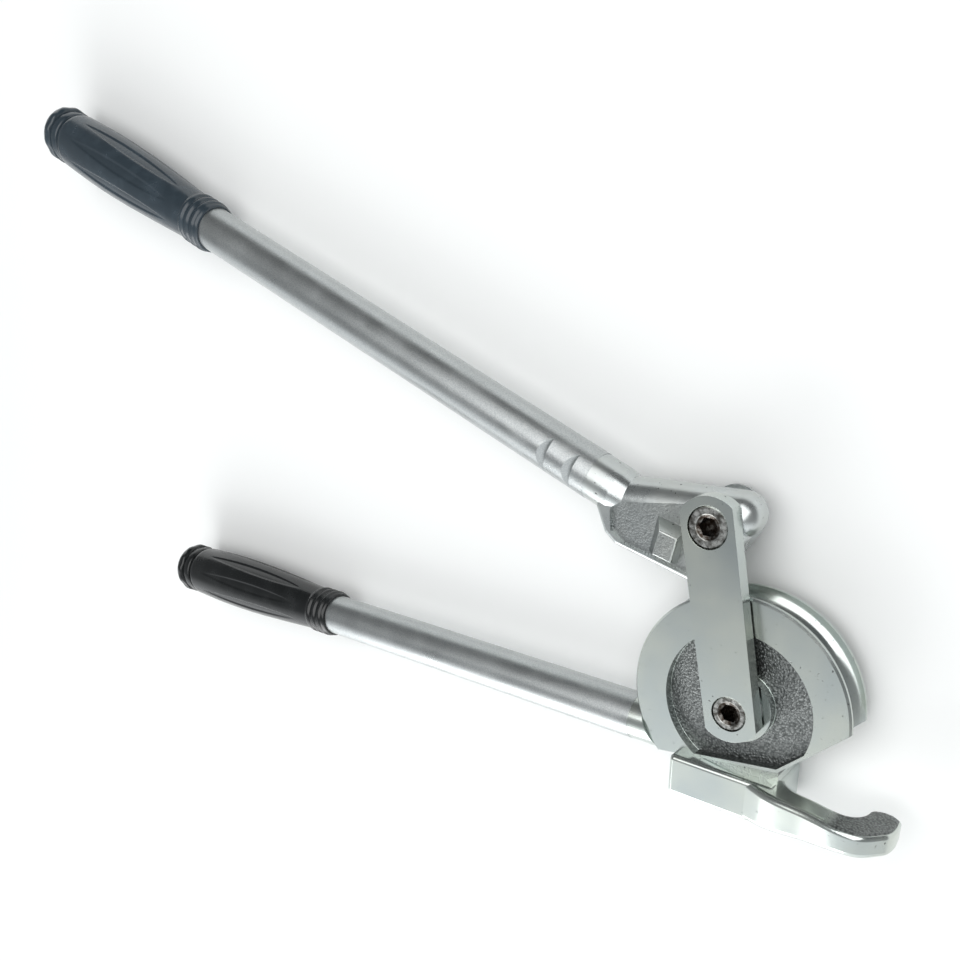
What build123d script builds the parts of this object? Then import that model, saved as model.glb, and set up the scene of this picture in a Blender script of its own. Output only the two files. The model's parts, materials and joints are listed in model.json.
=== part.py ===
from build123d import *
import os
from math import cos, radians, sin

# Lever bender for 16 mm (5/8 in) tube, lying on its rear side.
# Origin: the bend axis (hub of the forming wheel) in the middle plane of the tool.
# +Z: bend axis, towards the link. -X: direction of the wheel's own handle.

# ---- driving dimensions, millimetres and degrees ----
TUBE_D = 16.0                 # tube to be bent
BEND_R = 57.0                 # bend radius at the tube's centre line = wheel rim radius
WHEEL_T = 21.0                # forming wheel, across its two flat faces
LINK_REACH = 91.0             # bend axis to head pivot
LINK_ANGLE = 102.0            # direction of the link as laid down
LEVER_ANGLE = 159.5           # direction of the lever handle as laid down
STOP_TURN = 25.0              # head turn at which its stop boss bears on the link
HANDLE_OD = 25.0
HANDLE_WALL = 2.0
WHEEL_TUBE_LENGTH = 362.0
LEVER_TUBE_LENGTH = 428.0
GRIP_LENGTH = 134.0

# ---- clearances ----
RUN_FIT = 0.05                # pivot pin in its bush, radial
SEAT_FIT = 0.02               # parts assembled tight, radial
TUBE_PLAY = 0.1               # tube in its grooves, radial
SIDE_PLAY = 0.1               # washer to the part that turns against it

# ---- forming wheel ----
HALF_T = WHEEL_T / 2
GROOVE_R = TUBE_D / 2 + TUBE_PLAY
GROOVE_SWEEP = 194.0          # the groove runs this far round from the tube's entry
RIM_CHAMFER = 1.0
EXIT_FLAT = (37.0, -46.1)     # distance from the bend axis, and direction of its normal
FOOT_FLAT = (31.2, -81.4)
FLAT_RIM = 1.6                # rim left between a flat and the pocket
POCKET_R = 39.0
POCKET_DEPTH = 5.0
HUB_R = 18.0

# ---- vice block and tube hook, cast with the wheel ----
BLOCK_X = (-31.0, 26.0)
BLOCK_Y = (-56.5, -34.0)
BLOCK_HALF_Z = 17.5
BLOCK_ROUND = 2.5
NECK_X = (-29.0, 25.0)
NECK_Y = (-36.0, -20.0)
NECK_HALF_Z = 10.0
ARM_ROOT_X = 12.0
ARM_TIP_X = 85.0
ARM_TOP_Y = -34.5
ARM_TIP_LOW_Y = -47.5
ARM_TAPER_X = 66.0            # the arm's underside rises up to here
ARM_ROUND = 3.0               # edges of the arm
HOOK_WALL_X = 69.0
HOOK_ROOF_Z = 13.8
HOOK_CORNER_R = 9.0
HOOK_TIP_Z = 1.5

# ---- handles ----
HANDLE_R = HANDLE_OD / 2
HANDLE_BORE_R = HANDLE_R - HANDLE_WALL
SPIGOT_R = HANDLE_BORE_R - SEAT_FIT
SPIGOT_LENGTH = 38.0
SPIGOT_CHAMFER = 1.5
COLLAR_R = 12.3
CRIMP_AT = (8.5, 25.0)        # handle tube's end to each crimp's steep wall
CRIMP_DEPTH = 4.2
CRIMP_RUN = 5.5
CRIMP_INNER_SHIFT = -1.6      # steep wall of the dent's inside, from the outer one
CRIMP_INNER_Z = 4.6           # lowest line of the dent's inside, from the handle's axis
WHEEL_HANDLE_Y = -28.5
WHEEL_TUBE_X = -60.0

# ---- grips and end caps, along the handle ----
GRIP_MOUTH_R = 14.0
GRIP_BELLY_R = 17.6
GRIP_BACK_R = 16.6
GRIP_ROUND = 1.5
RIDGE_R = 14.9
RIDGE_COUNT = 3
RIDGE_PITCH = 5.0
RIDGE_WIDTH = 3.0
RIDGE_START = 3.0
CAP_NECK = 2.5
CAP_NECK_R = 14.6
CAP_LENGTH = 13.5
CAP_R = 17.0
CAP_ROUND = 4.5
PLUG_LENGTH = 25.0

# ---- link and pivots ----
HEAD_HALF_T = 10.9            # the bending head's cheeks and round rib
LINK_HALF_W = 13.5
LINK_T = 7.5
LINK_CORNER = 8.5             # pivot to the corners of the link's end
LINK_TIP = 14.7               # pivot to the middle of the link's end
LINK_INNER_Z = HALF_T + 1.1
LINK_OUTER_Z = LINK_INNER_Z + LINK_T
WASHER_R = 13.4
REAR_WASHER_T = 1.5
SHOULDER_R = 8.0
BUSH_R = 10.0
COUNTERBORE = 3.4
HUB_BOLT_R = 8.8              # bolt heads
HEAD_BOLT_R = 10.0
BOLT_GAP = 0.25
BOLT_HEAD_T = 3.0
BOLT_CHAMFER = 0.6
THREAD_R = 6.0
SOCKET_AF = 8.5
SOCKET_DEPTH = 9.0
DISH_R = 6.4                  # cone above the socket
DISH_DEPTH = 1.0
NUT_AF = 19.0
NUT_T = 5.0
NUT_COLLAR_R = 8.4
NUT_COLLAR_T = 2.6
INSERT_R = 7.4
INSERT_T = 1.8
THREAD_END = 0.4              # thread beyond the nut's collar

# ---- bending head: X along the lever, Y towards the bend axis, from the head pivot ----
LEVER_DROP = 18.0             # head pivot to the lever handle's axis
RIB_POINTS = ((-7.0, -6.3), (34.5, 11.7), (48.0, LEVER_DROP))
CHEEK_OUTLINE = ((-12.0, 16.0), (-15.8, 0.0), RIB_POINTS[0], RIB_POINTS[1], RIB_POINTS[2],
                 (61.0, LEVER_DROP), (60.6, 26.5), (51.0, 36.6))
COLLAR_X = 56.0
HEAD_TUBE_X = 70.0
PANEL_OUTLINE = ((13.0, -2.5), (32.7, 8.6), (48.0, 17.2), (52.6, 23.0), (47.6, 34.0),
                 (41.0, 36.4), (0.0, 30.6), (-5.5, 20.0), (-2.0, 10.0))
PANEL_DEPTH = 2.0
PANEL_ROUND = 3.0
CHEEK_ROUND = 2.5             # edges and corners of the cheeks
PIVOT_BOSS_R = 14.0

# ---- its shoe and stop, in the frame it takes when the stop bears on the link ----
LIP_DROP = 33.2               # head pivot to the lips of the shoe groove
GROOVE_DROP = LINK_REACH - BEND_R
HEEL_X = -4.0
TOE_X = 48.0
STOP_FACE = LINK_HALF_W + 0.1
STOP_WIDTH = 10.0
STOP_SPAN = (12.5, 25.3)
STOP_FLARE = (6.5, 3.0)        # at the foot, along the shoe and across it
STOP_TOP_Z = 17.0
STOP_ROUND = 1.0

# ---- places ----
PIVOT_X = LINK_REACH * cos(radians(LINK_ANGLE))
PIVOT_Y = LINK_REACH * sin(radians(LINK_ANGLE))
HEAD_PLACE = Location((PIVOT_X, PIVOT_Y, 0), (0, 0, LEVER_ANGLE))
LINK_PLACE = Location((0, 0, 0), (0, 0, LINK_ANGLE - 90))
SHOE_PLACE = Location((0, 0, 0), (0, 0, LINK_ANGLE + 90 - LEVER_ANGLE - STOP_TURN))
LEVER_HANDLE = HEAD_PLACE * Location((HEAD_TUBE_X, LEVER_DROP, 0))
WHEEL_HANDLE = Location((WHEEL_TUBE_X, WHEEL_HANDLE_Y, 0), (0, 0, 180)) * Location((0, 0, 0), (-90, 0, 0))
BASE = (Align.CENTER, Align.CENTER, Align.MIN)
TINY = 0.5                    # overlap that joins two solids of one casting
NUT_LOW = -HALF_T - SIDE_PLAY - REAR_WASHER_T - NUT_T
COLLAR_END = NUT_LOW - NUT_COLLAR_T


def disc(radius, low, high):
    """Round solid about Z between two heights."""
    return Location((0, 0, low)) * Cylinder(radius, high - low, align=BASE)


def bar(radius, start, end):
    """Round bar about X."""
    return Location((start, 0, 0), (0, 90, 0)) * Cylinder(radius, end - start, align=BASE)


def slab(x_range, y_range, half_z):
    """Box between two X and two Y values, the same above and below the middle plane."""
    size = Box(x_range[1] - x_range[0], y_range[1] - y_range[0], 2 * half_z)
    return Location((sum(x_range) / 2, sum(y_range) / 2, 0)) * size


def prism(points, low, high):
    """Polygon in the tool's plane, raised from one height to another."""
    return Location((0, 0, low)) * extrude(make_face(Polyline(*points, close=True)), high - low)


def turned(points):
    """Solid of revolution about X from an outline of (x, radius) points."""
    return revolve(make_face(Polyline(*points, close=True)), Axis.X)


def both_faces(solid):
    """A solid and its mirror image below the middle plane."""
    return [solid, mirror(solid, Plane.XY)]


def beyond(flat, inset=0.0):
    """Everything on the outer side of a flat cut."""
    distance, angle = flat
    reach = 3 * BEND_R
    block = Box(reach, 2 * reach, reach, align=(Align.MIN, Align.CENTER, Align.CENTER))
    return Location((0, 0, 0), (0, 0, angle)) * (Location((distance - inset, 0, 0)) * block)


def crimp_notch(at, low):
    """V notch across the top of a bar along X: a steep wall at one X, then a ramp."""
    top = HANDLE_R + 1
    ramp = (top - low) * CRIMP_RUN / CRIMP_DEPTH
    outline = Polyline((at, top), (at, low), (at + ramp, top), close=True)
    return extrude(Plane.XZ * make_face(outline), top, both=True)


def outer_crimps():
    """The dents that a handle tube shows."""
    return [crimp_notch(at, HANDLE_R - CRIMP_DEPTH) for at in CRIMP_AT]


def inner_crimps():
    """The inside of the dents, and the grooves of the spigot under them."""
    return [crimp_notch(at + CRIMP_INNER_SHIFT, CRIMP_INNER_Z) for at in CRIMP_AT]


def spigot():
    """Spigot along X that a handle tube is slid over and crimped to."""
    body = bar(SPIGOT_R, -TINY, SPIGOT_LENGTH)
    tip = body.edges().filter_by(GeomType.CIRCLE).sort_by(Axis.X)[-1]
    return chamfer(tip, SPIGOT_CHAMFER) - inner_crimps()


def handle_tube(length):
    """Crimped handle tube along X."""
    bore = bar(HANDLE_BORE_R, -1, length + 1) - inner_crimps()
    return bar(HANDLE_R, 0, length) - outer_crimps() - bore


def grip(tube_length):
    """Moulded grip over the far end of a handle tube, with ridges round its mouth."""
    start = tube_length - GRIP_LENGTH
    shoulder = start + RIDGE_START + RIDGE_COUNT * RIDGE_PITCH
    belly = Spline((shoulder, GRIP_MOUTH_R), (tube_length - 0.3 * GRIP_LENGTH, GRIP_BELLY_R),
                   (tube_length - GRIP_ROUND, GRIP_BACK_R), tangents=((1, 0.06), (1, -0.03)))
    back = Polyline(belly @ 1, (tube_length, GRIP_BACK_R - GRIP_ROUND), (tube_length, 0),
                    (start, 0), (start, GRIP_MOUTH_R), belly @ 0)
    body = revolve(make_face([belly, back]), Axis.X)
    for ridge in range(RIDGE_COUNT):
        at = start + RIDGE_START + ridge * RIDGE_PITCH
        body += bar(RIDGE_R, at, at + RIDGE_WIDTH)
    return body - bar(HANDLE_R + SEAT_FIT, start - 1, tube_length + 1)


def end_cap(tube_length):
    """Rounded cap with a plug that is pushed into the handle tube."""
    neck_end = tube_length + CAP_NECK
    end = neck_end + CAP_LENGTH
    outline = ((tube_length - PLUG_LENGTH, 0), (tube_length - PLUG_LENGTH, SPIGOT_R - 1),
               (tube_length - PLUG_LENGTH + 1, SPIGOT_R), (tube_length, SPIGOT_R),
               (tube_length, CAP_NECK_R), (neck_end, CAP_NECK_R), (neck_end, CAP_R - 1),
               (neck_end + 1, CAP_R), (end, CAP_R), (end, 0))
    cap = turned(outline)
    return fillet(cap.edges().filter_by(GeomType.CIRCLE).group_by(Axis.X)[-1], CAP_ROUND)


def pocket():
    """Sunk part of one face of the wheel, between its rim and its hub."""
    sunk = disc(POCKET_R, HALF_T - POCKET_DEPTH, HALF_T + 1) - disc(HUB_R, 0, HALF_T + 2)
    for flat in (EXIT_FLAT, FOOT_FLAT):
        sunk -= beyond(flat, FLAT_RIM)
    return sunk


def wheel_disc():
    """Grooved disc with its two flats, its pockets and its hub."""
    edge = BEND_R - RIM_CHAMFER
    face = HALF_T - RIM_CHAMFER
    rim = Polyline((0, -HALF_T), (edge, -HALF_T), (BEND_R, -face), (BEND_R, face),
                   (edge, HALF_T), (0, HALF_T), close=True)
    groove = Plane.XZ * (Location((BEND_R, 0)) * Circle(GROOVE_R))
    body = revolve(Plane.XZ * make_face(rim), Axis.Z)
    body -= revolve(groove, Axis.Z, GROOVE_SWEEP)
    body -= extrude(groove, BEND_R)
    for flat in (EXIT_FLAT, FOOT_FLAT):
        body -= beyond(flat)
    return body - both_faces(pocket())


def hook_arm():
    """Arm that leaves the vice block, passes over the tube and hooks round its far side."""
    corner_x = HOOK_WALL_X - HOOK_CORNER_R
    corner_z = HOOK_ROOF_Z - HOOK_CORNER_R
    bulge = HOOK_CORNER_R * sin(radians(45))
    front = Spline((ARM_ROOT_X, BLOCK_HALF_Z), (21.7, 21.6), (46, 25.6), (64, 29), (74, 27.4),
                   (81, 21), (ARM_TIP_X, 10), tangents=((1, 0.4), (0, -1)))
    side = Line(front @ 1, (ARM_TIP_X - 0.7, HOOK_TIP_Z + 2.5))
    tip = ThreePointArc(side @ 1, (HOOK_WALL_X + 9.5, HOOK_TIP_Z - 0.8), (HOOK_WALL_X + 3, HOOK_TIP_Z))
    lip = ThreePointArc(tip @ 1, (HOOK_WALL_X + 0.8, HOOK_TIP_Z + 1.5), (HOOK_WALL_X, corner_z))
    corner = ThreePointArc(lip @ 1, (corner_x + bulge, corner_z + bulge), (corner_x, HOOK_ROOF_Z))
    back = Spline(corner @ 1, (45, 11), (33, 8.5), (BLOCK_X[1] - 1, 0),
                  tangents=((-1, -0.05), (-0.2, -1)))
    root = Polyline(back @ 1, (ARM_ROOT_X, 0), front @ 0)
    profile = make_face([front, side, tip, lip, corner, back, root])
    low = BLOCK_Y[0]
    arm = Location((0, ARM_TOP_Y, 0)) * extrude(Plane.XZ * profile, ARM_TOP_Y - low)
    underside = ((ARM_ROOT_X, low - 1), (ARM_ROOT_X, low), (ARM_TAPER_X, ARM_TIP_LOW_Y),
                 (ARM_TIP_X + 1, ARM_TIP_LOW_Y), (ARM_TIP_X + 1, low - 1))
    arm -= prism(underside, -2 * BLOCK_HALF_Z, 2 * BLOCK_HALF_Z)
    boxes = [(edge, edge.bounding_box()) for edge in arm.edges()]
    boxes = [(edge, box) for edge, box in boxes if box.max.X > ARM_ROOT_X + TINY]
    top = [edge for edge, box in boxes if box.min.Y > ARM_TOP_Y - TINY]
    bottom = [edge for edge, box in boxes if box.max.Y < ARM_TIP_LOW_Y + TINY]
    return fillet(top + bottom, ARM_ROUND)


def forming_wheel():
    """One casting: wheel, neck, vice block, hook arm and the spigot for its handle."""
    block = slab(BLOCK_X, BLOCK_Y, BLOCK_HALF_Z)
    block = fillet(block.edges(), BLOCK_ROUND)
    collar = WHEEL_HANDLE * bar(COLLAR_R, BEND_R / 2 + WHEEL_TUBE_X, 0)
    collar -= disc(BEND_R - TINY, -COLLAR_R - 1, COLLAR_R + 1)
    neck = slab(NECK_X, NECK_Y, NECK_HALF_Z) - both_faces(pocket())
    body = wheel_disc() + neck + block + hook_arm()
    body += collar
    body += WHEEL_HANDLE * spigot()
    return body - disc(BUSH_R, -HALF_T, HALF_T)


def rib():
    """Round-backed rib from the head's nose to the collar at the lever handle."""
    body = Location(RIB_POINTS[0]) * Sphere(HEAD_HALF_T)
    for start, end in zip(RIB_POINTS, RIB_POINTS[1:]):
        run = Line(start, end)
        body += Plane(origin=start, z_dir=run % 0) * Cylinder(HEAD_HALF_T, run.length, align=BASE)
        body += Location(end) * Sphere(HEAD_HALF_T)
    flare = turned(((RIB_POINTS[2][0], 0), (RIB_POINTS[2][0], HEAD_HALF_T), (COLLAR_X, COLLAR_R),
                    (HEAD_TUBE_X, COLLAR_R), (HEAD_TUBE_X, 0)))
    return body + Location((0, LEVER_DROP, 0)) * flare


def shoe_point(x, y):
    """A point of the shoe's frame in the head's frame."""
    place = SHOE_PLACE * Location((x, y, 0))
    return (place.position.X, place.position.Y)


def stop_boss():
    """Boss whose flat side bears on the edge of the link; its other sides are sloped."""
    outlines = []
    for z, share in ((HEAD_HALF_T - PANEL_DEPTH - TINY, 1.0), (STOP_TOP_Z, 0.0)):
        far = STOP_FACE + STOP_WIDTH + share * STOP_FLARE[0]
        low = STOP_SPAN[0] - share * STOP_FLARE[1]
        high = STOP_SPAN[1] + share * STOP_FLARE[1]
        corners = Polyline((STOP_FACE, low), (far, low), (far, high), (STOP_FACE, high), close=True)
        outlines.append(Location((0, 0, z)) * make_face(corners))
    boss = loft(outlines, ruled=True)
    return SHOE_PLACE * fillet(boss.edges().group_by(Axis.Z)[-1], STOP_ROUND)


def bending_head():
    """Casting that the lever handle turns: shoe, stops, pivot eye, rib and spigot."""
    outline = (shoe_point(HEEL_X, LIP_DROP),) + CHEEK_OUTLINE + (shoe_point(TOE_X, LIP_DROP),)
    cheek = prism(outline, -HEAD_HALF_T, HEAD_HALF_T)
    cheek = fillet(cheek.edges().filter_by(Axis.Z), CHEEK_ROUND)
    body = fillet(cheek.edges() - cheek.edges().filter_by(Axis.Z), CHEEK_ROUND) + rib()
    panel = prism(PANEL_OUTLINE, HEAD_HALF_T - PANEL_DEPTH, HEAD_HALF_T + 1)
    panel = fillet(panel.edges().filter_by(Axis.Z), PANEL_ROUND)
    panel -= disc(PIVOT_BOSS_R, 0, HEAD_HALF_T + 2)
    body -= both_faces(panel)
    body += stop_boss()
    body -= SHOE_PLACE * (Location((0, GROOVE_DROP, 0)) * bar(GROOVE_R, -2 * TOE_X, 2 * TOE_X))
    body -= both_faces(disc(PIVOT_BOSS_R, HALF_T, HEAD_HALF_T + 1))
    body -= disc(BUSH_R, -HALF_T, HALF_T)
    return body + Location((HEAD_TUBE_X, LEVER_DROP, 0)) * spigot()


def link():
    """Flat bar with rounded ends and a counterbored hole at each pivot."""
    top = LINK_REACH
    far_end = ThreePointArc((LINK_HALF_W, top + LINK_CORNER), (0, top + LINK_TIP),
                            (-LINK_HALF_W, top + LINK_CORNER))
    near_end = ThreePointArc((-LINK_HALF_W, -LINK_CORNER), (0, -LINK_TIP), (LINK_HALF_W, -LINK_CORNER))
    sides = [Line(far_end @ 1, near_end @ 0), Line(near_end @ 1, far_end @ 0)]
    plate = Location((0, 0, LINK_INNER_Z)) * extrude(make_face([far_end, near_end] + sides), LINK_T)
    for y, radius in ((0, HUB_BOLT_R), (top, HEAD_BOLT_R)):
        at = Location((0, y, 0))
        plate -= at * disc(SHOULDER_R + SEAT_FIT, 0, LINK_OUTER_Z + 1)
        plate -= at * disc(radius + BOLT_GAP, LINK_OUTER_Z - COUNTERBORE, LINK_OUTER_Z + 1)
    return LINK_PLACE * plate


def pivot_bolt(head_radius):
    """Shoulder bolt with a dished head and a hexagon socket."""
    under = LINK_OUTER_Z - COUNTERBORE
    top = under + BOLT_HEAD_T
    shoulder_end = -HALF_T - SIDE_PLAY
    body = disc(head_radius, under, top) + disc(SHOULDER_R, shoulder_end, under)
    body = chamfer(body.edges().filter_by(GeomType.CIRCLE).sort_by(Axis.Z)[-1], BOLT_CHAMFER)
    body += disc(THREAD_R, COLLAR_END - THREAD_END, shoulder_end)
    hexagon = RegularPolygon(SOCKET_AF / 2, 6, major_radius=False)
    body -= Location((0, 0, top - SOCKET_DEPTH)) * extrude(hexagon, SOCKET_DEPTH + 1)
    dish = Cone(SOCKET_AF / 2, DISH_R, DISH_DEPTH, align=BASE)
    return body - Location((0, 0, top - DISH_DEPTH)) * dish


def ring(outer, inner, low, high):
    """Plain ring about Z."""
    return disc(outer, low, high) - disc(inner, low, high)


def lock_nut():
    """Hexagon nut whose thin collar holds the locking ring."""
    body = Location((0, 0, NUT_LOW)) * extrude(RegularPolygon(NUT_AF / 2, 6, major_radius=False), NUT_T)
    body += disc(NUT_COLLAR_R, COLLAR_END, NUT_LOW)
    body -= disc(THREAD_R + SEAT_FIT, COLLAR_END, NUT_LOW + NUT_T)
    return body - disc(INSERT_R, COLLAR_END + INSERT_T / 4, COLLAR_END + 5 * INSERT_T / 4)


def pivot_parts(name, head_radius):
    """The pieces of one pivot, stacked along its axis."""
    insert_low = COLLAR_END + INSERT_T / 4
    return {
        name + "_pivot_bolt": pivot_bolt(head_radius),
        name + "_pivot_bush": ring(BUSH_R, SHOULDER_R + RUN_FIT, -HALF_T, HALF_T),
        name + "_front_washer": ring(WASHER_R, SHOULDER_R + SEAT_FIT, HALF_T + SIDE_PLAY, LINK_INNER_Z),
        name + "_rear_washer": ring(WASHER_R, THREAD_R + SEAT_FIT, NUT_LOW + NUT_T, -HALF_T - SIDE_PLAY),
        name + "_lock_nut": lock_nut(),
        name + "_nut_insert": ring(INSERT_R, THREAD_R + SEAT_FIT, insert_low, insert_low + INSERT_T),
    }


def all_parts():
    """Every node of the assembly, in its place."""
    parts = {
        "forming_wheel": forming_wheel(),
        "wheel_handle_tube": WHEEL_HANDLE * handle_tube(WHEEL_TUBE_LENGTH),
        "wheel_handle_grip": WHEEL_HANDLE * grip(WHEEL_TUBE_LENGTH),
        "wheel_handle_cap": WHEEL_HANDLE * end_cap(WHEEL_TUBE_LENGTH),
        "bending_head": HEAD_PLACE * bending_head(),
        "lever_handle_tube": LEVER_HANDLE * handle_tube(LEVER_TUBE_LENGTH),
        "lever_handle_grip": LEVER_HANDLE * grip(LEVER_TUBE_LENGTH),
        "lever_handle_cap": LEVER_HANDLE * end_cap(LEVER_TUBE_LENGTH),
        "link": link(),
    }
    pivots = (("hub", Location(), HUB_BOLT_R), ("head", Location((PIVOT_X, PIVOT_Y, 0)), HEAD_BOLT_R))
    for name, place, head_radius in pivots:
        for node, shape in pivot_parts(name, head_radius).items():
            parts[node] = place * shape
    return parts


def main():
    os.makedirs("parts", exist_ok=True)
    for name, shape in all_parts().items():
        export_step(shape, f"parts/{name}.step")


if __name__ == "__main__":
    main()
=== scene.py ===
"""Lever tube bender: finishes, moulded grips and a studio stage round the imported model."""
import json
from math import cos, pi, radians, sin

import bmesh
import bpy
from bpy.props import FloatProperty, FloatVectorProperty, IntProperty, PointerProperty, StringProperty
from mathutils import Matrix, Vector


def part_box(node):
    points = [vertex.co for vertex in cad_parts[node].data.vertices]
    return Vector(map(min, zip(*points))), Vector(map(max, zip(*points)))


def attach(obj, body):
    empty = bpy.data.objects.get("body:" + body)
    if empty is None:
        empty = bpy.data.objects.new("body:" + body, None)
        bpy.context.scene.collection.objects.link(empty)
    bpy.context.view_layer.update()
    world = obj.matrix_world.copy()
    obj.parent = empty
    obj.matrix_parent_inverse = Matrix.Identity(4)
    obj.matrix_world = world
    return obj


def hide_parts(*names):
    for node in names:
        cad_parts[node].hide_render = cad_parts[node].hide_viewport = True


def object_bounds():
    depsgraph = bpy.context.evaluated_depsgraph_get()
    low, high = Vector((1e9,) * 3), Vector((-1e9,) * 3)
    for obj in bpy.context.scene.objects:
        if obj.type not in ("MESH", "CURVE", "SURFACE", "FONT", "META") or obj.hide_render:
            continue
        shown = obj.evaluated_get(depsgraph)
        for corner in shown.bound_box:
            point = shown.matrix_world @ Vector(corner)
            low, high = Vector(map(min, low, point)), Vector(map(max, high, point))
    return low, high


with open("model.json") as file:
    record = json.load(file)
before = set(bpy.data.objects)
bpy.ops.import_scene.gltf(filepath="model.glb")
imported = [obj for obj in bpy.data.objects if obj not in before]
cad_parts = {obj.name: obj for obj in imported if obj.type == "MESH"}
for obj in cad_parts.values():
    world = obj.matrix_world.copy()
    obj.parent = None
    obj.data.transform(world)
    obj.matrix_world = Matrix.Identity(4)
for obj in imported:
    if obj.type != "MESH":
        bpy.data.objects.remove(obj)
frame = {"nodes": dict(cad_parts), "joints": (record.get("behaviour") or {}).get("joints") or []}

bl_info = {
    "name": "Tube bender finish",
    "version": (1, 0, 0),
    "blender": (4, 5, 0),
    "location": "View3D > Sidebar > Bender",
    "description": "Finishes, grips and stage for a lever tube bender",
    "category": "Object",
}

MM = 0.001
FAR = 1.0                        # beyond the object on every side, in metres
CAD_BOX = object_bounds()
HEAD_PIVOT = Vector(frame["joints"][1]["pos_m"])
WHEEL_HANDLE_WAY = Vector((-1, 0, 0))
LEVER_ANGLE = radians(159.5)
LEVER_WAY = Vector((cos(LEVER_ANGLE), sin(LEVER_ANGLE), 0))

# Where the castings keep their rough skin, in metres
POCKET_RING = (18.4 * MM, 38.7 * MM)
POCKET_TOP = 9.6 * MM
BLOCK_TOP = -33.9 * MM
HOOK_TIP_X = 60 * MM
HOOK_TOP = (-35.1 * MM, -34 * MM)
PANEL_FLOOR = (8.6 * MM, 9.2 * MM)
BOSS_TOP = (16.9 * MM, 18 * MM)
DISH_R = 5.9 * MM

# Moulded pieces: (distance along, radius) pairs, in millimetres
GRIP_BORE_R = 12.55
GRIP_MOUTH = ((0.0, GRIP_BORE_R), (0.0, 13.3), (0.5, 13.9), (2.6, 14.0))
RIDGE_COUNT = 3
RIDGE_PITCH = 5.0
RIDGE_START = 3.0
RIDGE = ((0.0, 14.1), (0.5, 14.75), (1.1, 14.9), (1.9, 14.9), (2.5, 14.75), (3.0, 14.1), (4.5, 13.95))
BODY_START = 18.5
BODY_RINGS = 64
MOUTH_R = 14.0
BELLY_R = 17.6
BACK_R = 16.6
BELLY_AT = 0.68                  # share of the body's length where it is widest
BACK_ROUND = 1.5
GRIP_STEPS = 240
FLUTE_ENDS = (30 * MM, 14 * MM)  # clear of the mouth and of the back
FLUTE_SHARE = 0.27               # half a flute's width over the spacing of flutes
CAP_REACH = 16.0                 # what shows of a cap, neck included
PLUG = ((0.0, 0.0), (0.0, 9.3), (1.0, 10.3))
CAP = ((-0.2, 10.3), (0.0, 10.4), (0.0, 14.3), (0.3, 14.5), (2.1, 14.5), (2.3, 15.0), (2.7, 15.6),
       (3.2, 15.8), (7.2, 15.8), (7.6, 15.6), (7.8, 15.2), (8.4, 15.2), (8.6, 15.9), (9.0, 16.6),
       (9.7, 17.0), (10.6, 17.0), (11.6, 17.0), (13.0, 16.6), (14.4, 15.7), (15.4, 14.2), (15.9, 12.9),
       (16.0, 12.3), (16.0, 9.5), (15.7, 8.8), (15.4, 8.3), (15.4, 3.0), (15.4, 0.0))
CAP_STEPS = 120
CAP_LOBES = 12
LOBE_DEPTH = 0.5 * MM
LOBE_LENGTH = 8 * MM
LINK_EDGE = 0.5 * MM

# Stage: soft lights as (name, place from the middle, size, share of the key power)
SOFTBOXES = (("overhead", (0.35, 0.6, 1.5), 2.0, 2.9), ("side", (-0.4, -1.2, 0.5), 0.9, 0.8))
SKY_LEAN = (-0.1, -1.0, -0.08)
SKY_TINT = (1.0, 1.03, 1.05)
SKY = ((0.1, 0.14), (0.45, 0.3), (0.58, 0.32), (0.64, 0.36), (0.68, 0.58), (0.72, 0.85), (0.84, 1.2),
       (1.0, 1.4))
FLOOR_HALF = 20.0
CAMERA_SHIFT = (-0.0686, 0.1967)
NEAR_CLIP = 0.01


# Sizes and colours that a user would change

class BenderMetals(bpy.types.PropertyGroup):
    plate: StringProperty(name="Bright plate", description="Zinc plate on ground steel", default="#C9CECA")
    satin: StringProperty(name="Satin plate", description="Zinc plate on tumbled steel", default="#C6C9C8")
    cast: StringProperty(name="Cast skin", description="Plate on a rough casting", default="#8C8F8E")
    # painted shade: the dark colour painted inside the hexagon sockets
    socket_shade: StringProperty(name="Painted socket shade", description="Grease left in the bolt sockets", default="#2A211A")
    skin: FloatProperty(name="Cast grain", description="Grain of the cast skin", default=1.1 * MM,
                        min=0.2 * MM, max=5 * MM, unit="LENGTH")
    polish: FloatProperty(name="Polish", description="Roughness of the ground faces", default=0.2,
                          min=0.02, max=0.8, subtype="FACTOR")


class BenderGrips(bpy.types.PropertyGroup):
    lever_vinyl: StringProperty(name="Lever grip", description="Vinyl on the lever", default="#2D3840")
    wheel_vinyl: StringProperty(name="Wheel grip", description="Vinyl on the wheel's handle",
                                default="#101314")
    flutes: IntProperty(name="Flutes", description="Leaf-shaped hollows round a grip", default=8,
                        min=0, max=16)
    flute_depth: FloatProperty(name="Flute depth", description="Depth of each hollow", default=0.9 * MM,
                               min=0.0, max=3 * MM, unit="LENGTH")


class BenderStage(bpy.types.PropertyGroup):
    floor: StringProperty(name="Floor", description="Colour of the floor", default="#F6F7F6")
    camera_place: FloatVectorProperty(name="Camera", description="Where the camera stands",
                                      default=(0.1804, 0.2325, 0.4177), unit="LENGTH")
    camera_turn: FloatVectorProperty(name="Camera turn", description="Turn about X, Y and Z",
                                     default=(radians(-25.67), radians(36.071), radians(0.561)),
                                     subtype="EULER")
    lens: FloatProperty(name="Lens", description="Focal length in millimetres", default=38.285,
                        min=10, max=200)
    key_power: FloatProperty(name="Key light", description="Power of the overhead softbox", default=9.0,
                             min=0.0, unit="POWER")


# Materials

def linear(code):
    """An sRGB hex colour as linear RGBA."""
    parts = [int(code[i:i + 2], 16) / 255 for i in (1, 3, 5)]
    return (*[p / 12.92 if p <= 0.04045 else ((p + 0.055) / 1.055) ** 2.4 for p in parts], 1.0)


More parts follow.
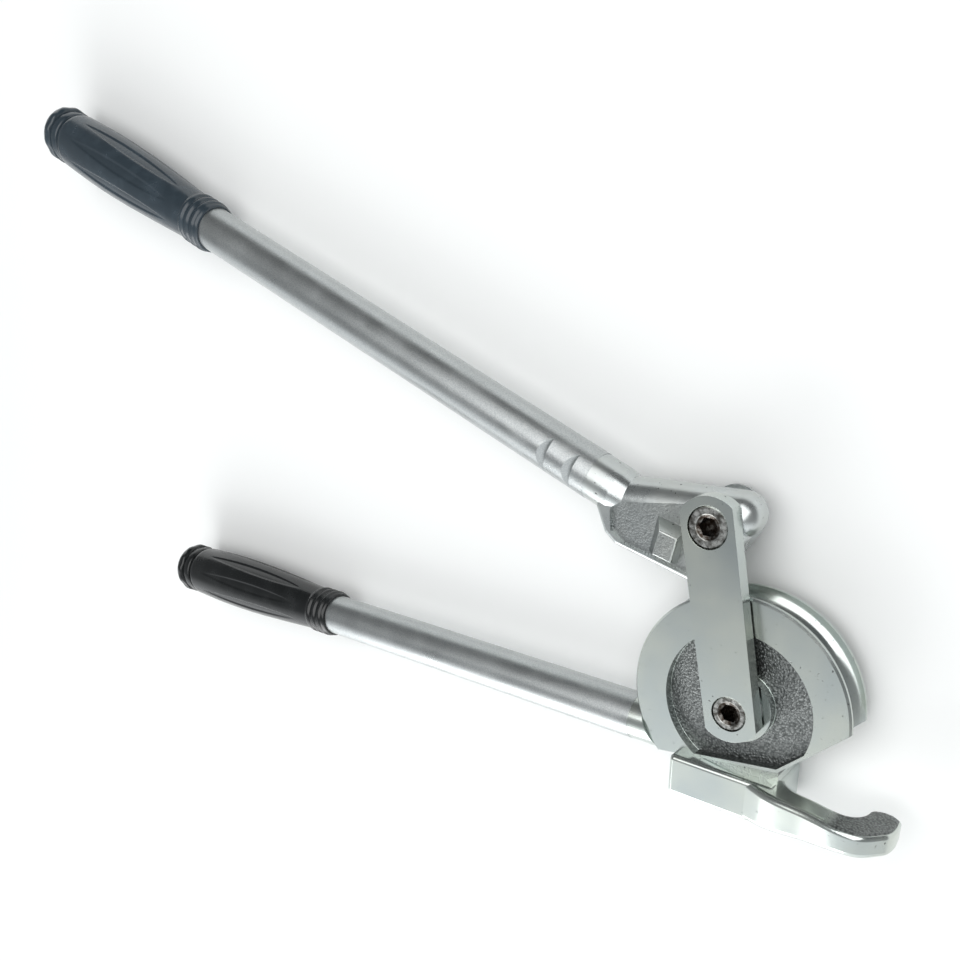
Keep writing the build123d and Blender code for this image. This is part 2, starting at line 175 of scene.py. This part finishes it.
def add(tree, kind, inputs=None, stops=(), **settings):
    """Adds a node. An input is a constant or the socket that feeds it; stops are a ramp's."""
    node = tree.nodes.new(kind)
    for name, value in settings.items():
        setattr(node, name, value)
    for key, value in (inputs or {}).items():
        if isinstance(value, bpy.types.NodeSocket):
            tree.links.new(value, node.inputs[key])
        else:
            node.inputs[key].default_value = value
    for i, (place, value) in enumerate(stops):
        elements = node.color_ramp.elements
        element = elements[i] if i < len(elements) else elements.new(place)
        element.position = place
        element.color = value
    return node


def blank(name):
    """A new material with no nodes, and its tree."""
    material = bpy.data.materials.new(name)
    material.use_nodes = True
    material.node_tree.nodes.clear()
    return material, material.node_tree


def finished(tree, colour, roughness, height, relief, metallic=1.0, **shader):
    """Ends a tree with its bump, its shader and its output. relief is the bump's depth in metres."""
    bump = add(tree, "ShaderNodeBump", {"Height": height, "Strength": 1.0, "Distance": relief})
    inputs = {"Base Color": colour, "Roughness": roughness, "Metallic": metallic,
              "Normal": bump.outputs["Normal"], **shader}
    surface = add(tree, "ShaderNodeBsdfPrincipled", inputs)
    add(tree, "ShaderNodeOutputMaterial", {"Surface": surface.outputs["BSDF"]})


def plated_skin(tree, at, polish, plate, cast, rough_share, skin):
    """Bright zinc plate that turns to rough plated cast skin where rough_share is 1.

    Zinc plate is a bluish to yellowish grey mirror, softened by handling and dotted with small
    casting pores. The cast skin under the plate is pebbled, so it glitters; it is darker, with
    painted shade in the dales between the pebbles.
    """
    clouds = add(tree, "ShaderNodeTexNoise", {"Vector": at, "Scale": 1 / (30 * MM), "Detail": 3.0})
    # pores are about 0.2 mm; drawn up to 0.8 mm so that they show
    pores = add(tree, "ShaderNodeTexNoise", {"Vector": at, "Scale": 1 / (1.6 * MM), "Detail": 1.5})
    pore = add(tree, "ShaderNodeMapRange", {"Value": pores.outputs["Fac"], "From Min": 0.71,
                                            "From Max": 0.76})
    pebbles = add(tree, "ShaderNodeTexVoronoi", {"Vector": at, "Scale": 1 / skin, "Smoothness": 0.6},
                  feature="SMOOTH_F1")
    grain = add(tree, "ShaderNodeTexNoise", {"Vector": at, "Scale": 1 / (0.5 * MM), "Detail": 3.0})
    tint = add(tree, "ShaderNodeValToRGB", {"Fac": clouds.outputs["Fac"]},
               stops=((0.3, (0.94, 0.97, 1.0, 1)), (0.7, (1.0, 1.0, 0.965, 1))))
    plate_colour = add(tree, "ShaderNodeMix", {0: 1.0, 6: linear(plate), 7: tint.outputs["Color"]},
                       data_type="RGBA", blend_type="MULTIPLY")
    pitted = add(tree, "ShaderNodeMix", {0: pore.outputs["Result"], 6: plate_colour.outputs[2],
                                         7: linear("#5A5C5B")}, data_type="RGBA")
    # painted shade: the dales between the pebbles are painted darker than the pebble tops
    shaded_dale = add(tree, "ShaderNodeValToRGB", {"Fac": pebbles.outputs["Distance"]},
               stops=((0.1, linear(cast)), (0.75, linear("#5E6160"))))
    colour = add(tree, "ShaderNodeMix", {0: rough_share, 6: pitted.outputs[2], 7: shaded_dale.outputs["Color"]},
                 data_type="RGBA")
    haze = add(tree, "ShaderNodeMapRange", {"Value": clouds.outputs["Fac"], "From Min": 0.3,
                                            "From Max": 0.7, "To Min": polish * 0.75,
                                            "To Max": polish * 1.35})
    matt = add(tree, "ShaderNodeMix", {0: rough_share, 2: haze.outputs["Result"], 3: 0.42})
    pebble_height = add(tree, "ShaderNodeMath", {0: pebbles.outputs["Distance"], 1: rough_share},
                        operation="MULTIPLY")
    fine = add(tree, "ShaderNodeMath", {0: grain.outputs["Fac"], 1: 0.03}, operation="MULTIPLY")
    height = add(tree, "ShaderNodeMath", {0: fine.outputs[0], 1: pebble_height.outputs[0]},
                 operation="SUBTRACT")
    pitted_height = add(tree, "ShaderNodeMath", {0: pore.outputs["Result"], 1: -0.1, 2: height.outputs[0]},
                        operation="MULTIPLY_ADD")
    return colour.outputs[2], matt.outputs[0], pitted_height.outputs[0]


def share_within(tree, value, low, high, soft):
    """1 where value lies from low to high, 0 outside, with soft edges."""
    rise = add(tree, "ShaderNodeMapRange", {"Value": value, "From Min": low - soft, "From Max": low})
    fall = add(tree, "ShaderNodeMapRange", {"Value": value, "From Min": high, "From Max": high + soft,
                                            "To Min": 1.0, "To Max": 0.0})
    both = add(tree, "ShaderNodeMath", {0: rise.outputs["Result"], 1: fall.outputs["Result"]},
               operation="MULTIPLY")
    return both.outputs[0]


def wheel_finish(metals):
    """Grey iron casting, rim and faces ground, all zinc plated: mirror faces, pebbled pockets."""
    material, tree = blank("ground_zinc_plated_casting")
    at = add(tree, "ShaderNodeTexCoord").outputs["Object"]
    x, y, z = add(tree, "ShaderNodeSeparateXYZ", {0: at}).outputs
    flat = add(tree, "ShaderNodeVectorMath", {0: at, 1: (1, 1, 0)}, operation="MULTIPLY")
    reach = add(tree, "ShaderNodeVectorMath", {0: flat.outputs[0]}, operation="LENGTH").outputs["Value"]
    depth = add(tree, "ShaderNodeMath", {0: z}, operation="ABSOLUTE").outputs[0]
    round_pocket = share_within(tree, reach, *POCKET_RING, 0.2 * MM)
    sunk = share_within(tree, depth, -FAR, POCKET_TOP, 0.5 * MM)
    clear_of_block = share_within(tree, y, BLOCK_TOP, FAR, 0.1 * MM)
    pocket = add(tree, "ShaderNodeMath", {0: round_pocket, 1: sunk}, operation="MULTIPLY")
    pocket = add(tree, "ShaderNodeMath", {0: pocket.outputs[0], 1: clear_of_block}, operation="MULTIPLY")
    tip = share_within(tree, x, HOOK_TIP_X, FAR, 6 * MM)
    on_top = share_within(tree, y, *HOOK_TOP, 0.3 * MM)
    tip_top = add(tree, "ShaderNodeMath", {0: tip, 1: on_top}, operation="MULTIPLY")
    rough = add(tree, "ShaderNodeMath", {0: pocket.outputs[0], 1: tip_top.outputs[0]}, operation="MAXIMUM")
    colour, roughness, height = plated_skin(tree, at, metals.polish, metals.plate, metals.cast,
                                            rough.outputs[0], metals.skin)
    finished(tree, colour, roughness, height, 0.35 * MM)
    return material


def link_finish(metals):
    """Cold-rolled flat bar, ground and zinc plated: an even soft mirror with a few specks."""
    material, tree = blank("ground_zinc_plated_bar")
    at = add(tree, "ShaderNodeTexCoord").outputs["Object"]
    colour, roughness, height = plated_skin(tree, at, metals.polish * 0.9, metals.plate, metals.cast,
                                            0.0, metals.skin)
    finished(tree, colour, roughness, height, 0.15 * MM)
    return material


def head_finish(metals):
    """Forged and tumbled steel, zinc plated: satin, with rough skin left in the sunk panels."""
    material, tree = blank("tumbled_zinc_plated_forging")
    coordinates = add(tree, "ShaderNodeTexCoord").outputs
    at = coordinates["Object"]
    z = add(tree, "ShaderNodeSeparateXYZ", {0: at}).outputs[2]
    tilt = add(tree, "ShaderNodeSeparateXYZ", {0: coordinates["Normal"]}).outputs[2]
    depth = add(tree, "ShaderNodeMath", {0: z}, operation="ABSOLUTE").outputs[0]
    level = add(tree, "ShaderNodeMath", {0: tilt}, operation="ABSOLUTE").outputs[0]
    facing = share_within(tree, level, 0.97, 1.1, 0.02)
    floor_of_panel = share_within(tree, depth, *PANEL_FLOOR, 0.1 * MM)
    boss_top = share_within(tree, z, *BOSS_TOP, 0.05 * MM)
    sunk = add(tree, "ShaderNodeMath", {0: floor_of_panel, 1: boss_top}, operation="MAXIMUM")
    rough = add(tree, "ShaderNodeMath", {0: sunk.outputs[0], 1: facing}, operation="MULTIPLY")
    rough = add(tree, "ShaderNodeMath", {0: rough.outputs[0], 1: 0.55}, operation="MULTIPLY")
    colour, roughness, height = plated_skin(tree, at, metals.polish * 1.35, metals.satin, metals.cast,
                                            rough.outputs[0], metals.skin * 0.8)
    swell = add(tree, "ShaderNodeTexNoise", {"Vector": at, "Scale": 1 / (3.5 * MM), "Detail": 2.0})
    height = add(tree, "ShaderNodeMath", {0: swell.outputs["Fac"], 1: 0.2, 2: height},
                 operation="MULTIPLY_ADD")
    finished(tree, colour, roughness, height.outputs[0], 0.25 * MM)
    return material


def tube_finish(metals):
    """Drawn steel tube, dull zinc plated: a fine frosted grain and faint drawing lines."""
    material, tree = blank("frosted_zinc_plated_tube")
    at = add(tree, "ShaderNodeTexCoord").outputs["Object"]
    # plate crystals are 0.1 mm; drawn at 0.6 mm so that the frost shows
    frost = add(tree, "ShaderNodeTexNoise", {"Vector": at, "Scale": 1 / (0.6 * MM), "Detail": 4.0})
    clouds = add(tree, "ShaderNodeTexNoise", {"Vector": at, "Scale": 1 / (18 * MM), "Detail": 4.0})
    colour = add(tree, "ShaderNodeValToRGB", {"Fac": frost.outputs["Fac"]},
                 stops=((0.3, linear("#A9AEB0")), (0.62, linear(metals.satin))))
    roughness = add(tree, "ShaderNodeMapRange", {"Value": clouds.outputs["Fac"], "From Min": 0.3,
                                                 "From Max": 0.7, "To Min": 0.27, "To Max": 0.4})
    finished(tree, colour.outputs["Color"], roughness.outputs["Result"], frost.outputs["Fac"], 0.08 * MM)
    return material


def bolt_finish(name, metals, centre, top):
    """Turned alloy steel, zinc plated: fine tool rings, and painted shade, dark and mottled, inside the
    hexagon socket.
    """
    material, tree = blank(name)
    at = add(tree, "ShaderNodeTexCoord").outputs["Object"]
    z = add(tree, "ShaderNodeSeparateXYZ", {0: at}).outputs[2]
    local = add(tree, "ShaderNodeMapping", {"Vector": at, "Location": -centre}, vector_type="POINT")
    flat = add(tree, "ShaderNodeVectorMath", {0: local.outputs[0], 1: (1, 1, 0)}, operation="MULTIPLY")
    reach = add(tree, "ShaderNodeVectorMath", {0: flat.outputs[0]}, operation="LENGTH").outputs["Value"]
    # painted shade: the socket below the bolt's top is painted dark and mottled
    in_dish = share_within(tree, reach, -FAR, DISH_R, 0.5 * MM)
    below = share_within(tree, z, -FAR, top - 0.25 * MM, 0.2 * MM)
    socket_shade_mottle = add(tree, "ShaderNodeTexNoise", {"Vector": at, "Scale": 1 / (1.8 * MM), "Detail": 4.0})
    patchy = add(tree, "ShaderNodeMapRange", {"Value": socket_shade_mottle.outputs["Fac"], "From Min": 0.3,
                                              "From Max": 0.55, "To Min": 0.45, "To Max": 0.97})
    painted_socket_shade = add(tree, "ShaderNodeMath", {0: in_dish, 1: below}, operation="MULTIPLY")
    painted_socket_shade = add(tree, "ShaderNodeMath", {0: painted_socket_shade.outputs[0], 1: patchy.outputs["Result"]},
                operation="MULTIPLY").outputs[0]
    # a turning feed leaves rings 0.1 mm apart; drawn at 0.4 mm so that they show
    turns = add(tree, "ShaderNodeMath", {0: reach, 1: 2 * pi / (0.4 * MM)}, operation="MULTIPLY")
    rings = add(tree, "ShaderNodeMath", {0: turns.outputs[0]}, operation="SINE")
    smear = add(tree, "ShaderNodeTexNoise", {"Vector": at, "Scale": 1 / (2.5 * MM), "Detail": 4.0})
    steel = add(tree, "ShaderNodeValToRGB", {"Fac": smear.outputs["Fac"]},
                stops=((0.35, linear("#5E5C57")), (0.62, linear("#B3B4B1"))))
    colour = add(tree, "ShaderNodeMix", {0: painted_socket_shade, 6: steel.outputs["Color"], 7: linear(metals.socket_shade)},
                 data_type="RGBA")
    shine = add(tree, "ShaderNodeMapRange", {"Value": smear.outputs["Fac"], "From Min": 0.3,
                                             "From Max": 0.7, "To Min": 0.16, "To Max": 0.34})
    finished(tree, colour.outputs[2], shine.outputs["Result"], rings.outputs[0], 0.004 * MM)
    return material


def small_metal_finish(name, light, dark, roughness):
    """Stamped or sintered small part: mottled metal with a fine porous grain."""
    material, tree = blank(name)
    at = add(tree, "ShaderNodeTexCoord").outputs["Object"]
    mottle = add(tree, "ShaderNodeTexNoise", {"Vector": at, "Scale": 1 / (2 * MM), "Detail": 5.0})
    colour = add(tree, "ShaderNodeValToRGB", {"Fac": mottle.outputs["Fac"]},
                 stops=((0.35, linear(dark)), (0.65, linear(light))))
    shine = add(tree, "ShaderNodeMapRange", {"Value": mottle.outputs["Fac"], "From Min": 0.3,
                                             "From Max": 0.7, "To Min": roughness * 0.8,
                                             "To Max": roughness * 1.25})
    finished(tree, colour.outputs["Color"], shine.outputs["Result"], mottle.outputs["Fac"], 0.03 * MM)
    return material


def nylon_finish():
    """Natural nylon, moulded: milky and waxy, with a little light passing into it."""
    material, tree = blank("natural_moulded_nylon")
    at = add(tree, "ShaderNodeTexCoord").outputs["Object"]
    cloud = add(tree, "ShaderNodeTexNoise", {"Vector": at, "Scale": 1 / (1.5 * MM), "Detail": 3.0})
    colour = add(tree, "ShaderNodeValToRGB", {"Fac": cloud.outputs["Fac"]},
                 stops=((0.35, linear("#C9CDD0")), (0.65, linear("#E2E4E4"))))
    finished(tree, colour.outputs["Color"], 0.42, cloud.outputs["Fac"], 0.02 * MM, metallic=0.0, IOR=1.53)
    return material


def vinyl_finish(name, code):
    """Moulded plasticised PVC: deep grey, wet-looking gloss over a faint orange peel, some scuffs."""
    material, tree = blank(name)
    at = add(tree, "ShaderNodeTexCoord").outputs["Object"]
    peel = add(tree, "ShaderNodeTexNoise", {"Vector": at, "Scale": 1 / (2.2 * MM), "Detail": 2.0})
    scuff = add(tree, "ShaderNodeTexNoise", {"Vector": at, "Scale": 1 / (12 * MM), "Detail": 3.0})
    base = linear(code)
    pale = (*[c * 1.35 + 0.004 for c in base[:3]], 1.0)
    colour = add(tree, "ShaderNodeValToRGB", {"Fac": scuff.outputs["Fac"]},
                 stops=((0.45, base), (0.75, pale)))
    gloss = add(tree, "ShaderNodeMapRange", {"Value": scuff.outputs["Fac"], "From Min": 0.35,
                                             "From Max": 0.7, "To Min": 0.17, "To Max": 0.3})
    finished(tree, colour.outputs["Color"], gloss.outputs["Result"], peel.outputs["Fac"], 0.012 * MM,
             metallic=0.0, IOR=1.54)
    return material


def paper_finish(code):
    """Matt paper sweep: pale, with a barely visible tooth."""
    material, tree = blank("matt_paper")
    at = add(tree, "ShaderNodeTexCoord").outputs["Object"]
    tooth = add(tree, "ShaderNodeTexNoise", {"Vector": at, "Scale": 1 / (3 * MM), "Detail": 3.0})
    finished(tree, linear(code), 0.9, tooth.outputs["Fac"], 0.02 * MM, metallic=0.0)
    return material


def dress(nodes, material):
    """Gives CAD nodes a material in all their slots."""
    for name in nodes:
        node = frame["nodes"][name]
        if not node.material_slots:
            node.data.materials.append(material)
        for slot in node.material_slots:
            slot.material = material


# Shapes

def made(name, mesh, sharp, material):
    """Ends a bmesh as an object with one material, smooth but for edges sharper than an angle."""
    for face in mesh.faces:
        face.smooth = True
    for edge in mesh.edges:
        edge.smooth = edge.calc_face_angle(0) < sharp
    data = bpy.data.meshes.new(name)
    mesh.to_mesh(data)
    mesh.free()
    data.materials.append(material)
    piece = bpy.data.objects.new(name, data)
    bpy.context.scene.collection.objects.link(piece)
    return piece


def stand_in(piece, node, body):
    """Lets a finished piece stand for a CAD node and move with its body."""
    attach(piece, body)
    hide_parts(node)


def deburred(node, body, width, material):
    """A copy of a CAD node with its sharp edges rounded, which stands for it."""
    mesh = bmesh.new()
    mesh.from_mesh(frame["nodes"][node].data)
    bmesh.ops.remove_doubles(mesh, verts=mesh.verts, dist=0.001 * MM)
    bmesh.ops.dissolve_limit(mesh, angle_limit=radians(0.5), verts=mesh.verts, edges=mesh.edges)
    piece = made(node + "_deburred", mesh, radians(30), material)
    edges = piece.modifiers.new("edges", "BEVEL")
    edges.width = width
    edges.segments = 3
    edges.limit_method = "ANGLE"
    edges.angle_limit = radians(35)
    edges.harden_normals = True
    stand_in(piece, node, body)


def across(way):
    """The direction square to a handle, in the tool's plane."""
    return Vector((-way.y, way.x, 0))


def handle_start(node, way):
    """The point on a handle's axis where a node begins, and the node's length along it."""
    side = across(way)
    corners = [v.co for v in frame["nodes"][node].data.vertices]
    along = [c.dot(way) for c in corners]
    wide = [c.dot(side) for c in corners]
    centre = side * (min(wide) + max(wide)) / 2
    return centre + way * min(along), max(along) - min(along)


def spun(outline, steps, closed):
    """A turned shape about X from (along, radius) points in millimetres."""
    mesh = bmesh.new()
    points = [mesh.verts.new((along * MM, 0, radius * MM)) for along, radius in outline]
    ends = points[1:] + points[:1] if closed else points[1:]
    edges = [mesh.edges.new(pair) for pair in zip(points, ends)]
    bmesh.ops.spin(mesh, geom=points + edges, cent=(0, 0, 0), axis=(1, 0, 0), dvec=(0, 0, 0),
                   angle=2 * pi, steps=steps, use_merge=True, use_duplicate=False)
    bmesh.ops.remove_doubles(mesh, verts=mesh.verts, dist=0.001 * MM)
    bmesh.ops.recalc_face_normals(mesh, faces=mesh.faces)
    return mesh


def laid(mesh, start, way):
    """Moves a bmesh made along X to a handle's axis."""
    side = across(way)
    turn = Matrix((way, side, way.cross(side))).transposed().to_4x4()
    bmesh.ops.transform(mesh, matrix=Matrix.Translation(start) @ turn, verts=mesh.verts)


def angle_of(vertex):
    """Turn of a vertex about X, in radians."""
    return vertex.co.yz.angle_signed(Vector((1, 0)))


def grip_outline(length):
    """Mouth lip, ridges, gently barrelled body, rounded back and the bore."""
    outline = list(GRIP_MOUTH)
    for ridge in range(RIDGE_COUNT):
        outline += [(RIDGE_START + RIDGE_PITCH * ridge + along, radius) for along, radius in RIDGE]
    body_length = length - BACK_ROUND - BODY_START
    for ring in range(BODY_RINGS + 1):
        share = ring / BODY_RINGS
        if share < BELLY_AT:
            radius = MOUTH_R + (BELLY_R - MOUTH_R) * sin(pi / 2 * share / BELLY_AT) ** 1.1
        else:
            fall = 1 - cos(pi / 2 * (share - BELLY_AT) / (1 - BELLY_AT))
            radius = BELLY_R - (BELLY_R - BACK_R) * fall
        outline.append((BODY_START + body_length * share, radius))
    return outline + [(length - 0.5, 16.1), (length, 15.2), (length, GRIP_BORE_R)]


def flute(mesh, count, depth, first, last):
    """Presses leaf-shaped hollows, pointed at both ends, into a grip made along X."""
    if count == 0:
        return
    half_width = 2 * pi / count * FLUTE_SHARE
    for vertex in mesh.verts:
        share = (vertex.co.x - first) / (last - first)
        radius = vertex.co.yz.length
        if 0 < share < 1 and radius > 13.2 * MM:
            turn = (angle_of(vertex) / (2 * pi) * count) % 1.0
            off = abs(turn - 0.5) * 2 * pi / count
            width = half_width * sin(pi * share ** 0.8) ** 0.75
            press = min(1.0, max(0.0, 1 - off / width) * 2.6)
            press *= press * (3 - 2 * press)
            vertex.co.yz *= (radius - depth * press * sin(pi * share) ** 0.5) / radius


def cap_outline(length):
    """Plug, narrow neck, rounded cap and a shallow dish in its end."""
    neck = length - CAP_REACH
    return [*PLUG, *[(neck + along, radius) for along, radius in CAP]]


def lobe(mesh, first):
    """Shallow finger lobes round the wide part of a cap made along X."""
    for vertex in mesh.verts:
        radius = vertex.co.yz.length
        if vertex.co.x > first and radius > 16 * MM:
            dip = 0.5 + 0.5 * cos(CAP_LOBES * angle_of(vertex))
            vertex.co.yz *= (radius - LOBE_DEPTH * dip) / radius


def handle_pieces(prefix, way, body, vinyl, grips):
    """The fluted grip and its cap, which stand for the plain CAD ones."""
    start, length = handle_start(prefix + "_grip", way)
    grip = spun(grip_outline(length / MM), GRIP_STEPS, True)
    flute(grip, grips.flutes, grips.flute_depth, FLUTE_ENDS[0], length - FLUTE_ENDS[1])
    laid(grip, start, way)
    stand_in(made(prefix + "_fluted_grip", grip, radians(50), vinyl), prefix + "_grip", body)
    start, length = handle_start(prefix + "_cap", way)
    cap = spun(cap_outline(length / MM), CAP_STEPS, False)
    lobe(cap, length - LOBE_LENGTH)
    laid(cap, start, way)
    stand_in(made(prefix + "_lobed_cap", cap, radians(50), vinyl), prefix + "_cap", body)


# Operators

class BENDER_OT_castings(bpy.types.Operator):
    """Finish the forming wheel and the bending head"""
    bl_idname = "bender.castings"
    bl_label = "Castings"

    def execute(self, context):
        metals = context.scene.bender_metals
        dress(["forming_wheel"], wheel_finish(metals))
        dress(["bending_head"], head_finish(metals))
        return {"FINISHED"}


class BENDER_OT_bars(bpy.types.Operator):
    """Finish the link and the two handle tubes"""
    bl_idname = "bender.bars"
    bl_label = "Link and tubes"

    def execute(self, context):
        metals = context.scene.bender_metals
        deburred("link", "link", LINK_EDGE, link_finish(metals))
        dress(["wheel_handle_tube", "lever_handle_tube"], tube_finish(metals))
        return {"FINISHED"}


class BENDER_OT_pivots(bpy.types.Operator):
    """Finish the bolts, washers, nuts and bushes of both pivots"""
    bl_idname = "bender.pivots"
    bl_label = "Pivots"

    def execute(self, context):
        metals = context.scene.bender_metals
        for pivot, centre in (("hub", Vector()), ("head", HEAD_PIVOT)):
            bolt = pivot + "_pivot_bolt"
            dress([bolt], bolt_finish("turned_plated_" + bolt, metals, centre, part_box(bolt)[1].z))
        washer = small_metal_finish("stamped_zinc_plated_washer", metals.satin, "#B2B5B6", 0.34)
        bronze = small_metal_finish("sintered_oiled_bronze", "#A98346", "#6E5228", 0.38)
        nylon = nylon_finish()
        for pivot in ("hub", "head"):
            dress([pivot + part for part in ("_front_washer", "_rear_washer", "_lock_nut")], washer)
            dress([pivot + "_pivot_bush"], bronze)
            dress([pivot + "_nut_insert"], nylon)
        return {"FINISHED"}


class BENDER_OT_grips(bpy.types.Operator):
    """Mould the fluted grips and their caps"""
    bl_idname = "bender.grips"
    bl_label = "Grips"

    def execute(self, context):
        grips = context.scene.bender_grips
        slate = vinyl_finish("moulded_slate_vinyl", grips.lever_vinyl)
        black = vinyl_finish("moulded_black_vinyl", grips.wheel_vinyl)
        handle_pieces("lever_handle", LEVER_WAY, "lever", slate, grips)
        handle_pieces("wheel_handle", WHEEL_HANDLE_WAY, "wheel_side", black, grips)
        return {"FINISHED"}


def softbox(name, place, aim, size, power):
    """A square area light that faces a point."""
    light = bpy.data.lights.new(name, "AREA")
    light.size = size
    light.energy = power
    lamp = bpy.data.objects.new(name, light)
    lamp.location = place
    lamp.rotation_euler = (aim - place).to_track_quat("-Z", "Y").to_euler()
    bpy.context.scene.collection.objects.link(lamp)


def sky():
    """Studio light from all round: bright on the key side, dim low down on the other."""
    world = bpy.data.worlds.new("studio")
    world.use_nodes = True
    tree = world.node_tree
    tree.nodes.clear()
    way = add(tree, "ShaderNodeTexCoord").outputs["Generated"]
    lean = add(tree, "ShaderNodeVectorMath", {0: way, 1: SKY_LEAN}, operation="DOT_PRODUCT")
    share = add(tree, "ShaderNodeMapRange", {"Value": lean.outputs["Value"], "From Min": -1.0})
    stops = [(place, (*[grey * tint for tint in SKY_TINT], 1)) for place, grey in SKY]
    ramp = add(tree, "ShaderNodeValToRGB", {"Fac": share.outputs["Result"]}, stops=stops)
    light = add(tree, "ShaderNodeBackground", {"Color": ramp.outputs["Color"], "Strength": 1.0})
    add(tree, "ShaderNodeOutputWorld", {"Surface": light.outputs[0]})
    bpy.context.scene.world = world


class BENDER_OT_stage(bpy.types.Operator):
    """Lay the floor and set up the lights and the camera"""
    bl_idname = "bender.stage"
    bl_label = "Stage"

    def execute(self, context):
        settings = context.scene.bender_stage
        mesh = bmesh.new()
        bmesh.ops.create_grid(mesh, x_segments=1, y_segments=1, size=FLOOR_HALF)
        bmesh.ops.translate(mesh, verts=mesh.verts, vec=(0, 0, CAD_BOX[0].z))
        made("floor", mesh, pi, paper_finish(settings.floor))
        sky()
        middle = (CAD_BOX[0] + CAD_BOX[1]) / 2
        for name, place, size, share in SOFTBOXES:
            softbox(name, middle + Vector(place), middle, size, settings.key_power * share)
        lens = bpy.data.cameras.new("camera")
        lens.lens = settings.lens
        lens.shift_x, lens.shift_y = CAMERA_SHIFT
        lens.clip_start = NEAR_CLIP
        camera = bpy.data.objects.new("camera", lens)
        camera.location = settings.camera_place
        camera.rotation_euler = settings.camera_turn
        context.scene.collection.objects.link(camera)
        context.scene.camera = camera
        context.scene.view_settings.view_transform = "Standard"
        return {"FINISHED"}


OPERATORS = (BENDER_OT_castings, BENDER_OT_bars, BENDER_OT_pivots, BENDER_OT_grips, BENDER_OT_stage)
GROUPS = (("bender_metals", BenderMetals), ("bender_grips", BenderGrips), ("bender_stage", BenderStage))


class BENDER_PT_panel(bpy.types.Panel):
    """Sizes, colours and steps of the bender"""
    bl_idname = "BENDER_PT_panel"
    bl_label = "Tube bender"
    bl_space_type = "VIEW_3D"
    bl_region_type = "UI"
    bl_category = "Bender"

    def draw(self, context):
        for name, group in GROUPS:
            column = self.layout.column()
            for field in group.__annotations__:
                column.prop(getattr(context.scene, name), field)
        for operator in OPERATORS:
            self.layout.operator(operator.bl_idname)


def register():
    for _, group in GROUPS:
        bpy.utils.register_class(group)
    for operator in OPERATORS:
        bpy.utils.register_class(operator)
    bpy.utils.register_class(BENDER_PT_panel)
    for name, group in GROUPS:
        setattr(bpy.types.Scene, name, PointerProperty(type=group))


def unregister():
    for name, _ in GROUPS:
        delattr(bpy.types.Scene, name)
    bpy.utils.unregister_class(BENDER_PT_panel)
    for cls in reversed([group for _, group in GROUPS] + list(OPERATORS)):
        bpy.utils.unregister_class(cls)


def main():
    register()
    bpy.ops.bender.castings()
    bpy.ops.bender.bars()
    bpy.ops.bender.pivots()
    bpy.ops.bender.grips()
    bpy.ops.bender.stage()
    bpy.context.view_layer.update()


if __name__ == "__main__":
    main()
